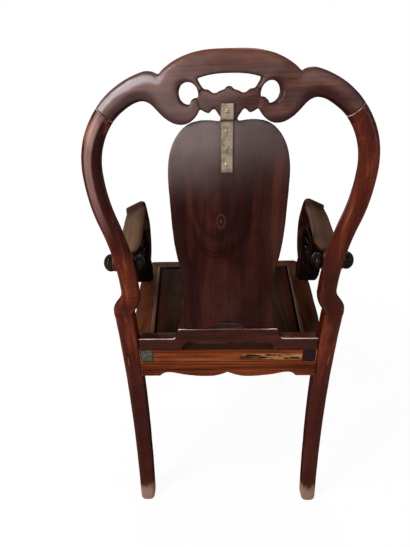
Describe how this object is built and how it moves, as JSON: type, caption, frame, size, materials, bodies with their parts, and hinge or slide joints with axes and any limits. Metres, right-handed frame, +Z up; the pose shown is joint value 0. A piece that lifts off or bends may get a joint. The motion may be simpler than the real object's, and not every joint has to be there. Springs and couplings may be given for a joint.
{
  "type": "horseshoe back armchair",
  "caption": "Hardwood armchair with a balloon-shaped loop back, pierced bat crest rail, wide splat, curled arms on scroll brackets and cabriole front legs.",
  "frame": {"origin": "on the floor, under the middle of the chair's whole bounding box", "axes": "+Z up, the sitter faces -Y, +X is the left side as seen from behind; the chair is symmetric about X = 0 but for its mending plate"},
  "size_m": [0.5024, 0.5676, 1.0027],
  "materials": {
    "redwood_gloss": "polished, worn",
    "purple_brown_wood": "polished, worn",
    "dark_panel_wood": "satin",
    "orange_brown_wood": "worn satin",
    "taupe_wood": "worn satin",
    "seat_board_wood": "worn satin",
    "arm_wood": "dusty satin",
    "black_red_wood": "polished",
    "plain_wood": "sawn",
    "brass": "dull, worn"
  },
  "bodies": {
    "root": {"arm_boss_left_inner": "black_red_wood", "arm_boss_left_outer": "black_red_wood", "arm_boss_right_inner": "black_red_wood", "arm_boss_right_outer": "black_red_wood", "arm_dowels": "plain_wood", "arm_left": "arm_wood", "arm_right": "arm_wood", "arm_scroll_left": "black_red_wood", "arm_scroll_right": "black_red_wood", "back_splat": "dark_panel_wood", "corner_blocks": "plain_wood", "crest_pins": "plain_wood", "crest_rail": "purple_brown_wood", "crest_tongues": "plain_wood", "front_apron": "orange_brown_wood", "front_leg_left": "redwood_gloss", "front_leg_right": "redwood_gloss", "front_seat_rail": "taupe_wood", "lower_back_rail": "redwood_gloss", "mending_plate": "brass", "plate_screws": "brass", "rear_apron": "orange_brown_wood", "rear_leg_left": "redwood_gloss", "rear_leg_right": "redwood_gloss", "rear_seat_rail": "orange_brown_wood", "seat_batten_front": "plain_wood", "seat_batten_rear": "plain_wood", "seat_board_left": "seat_board_wood", "seat_board_middle": "seat_board_wood", "seat_board_right": "seat_board_wood", "seat_rail_left": "taupe_wood", "seat_rail_right": "taupe_wood", "side_apron_left": "orange_brown_wood", "side_apron_right": "orange_brown_wood"}
  },
  "joints": []
}
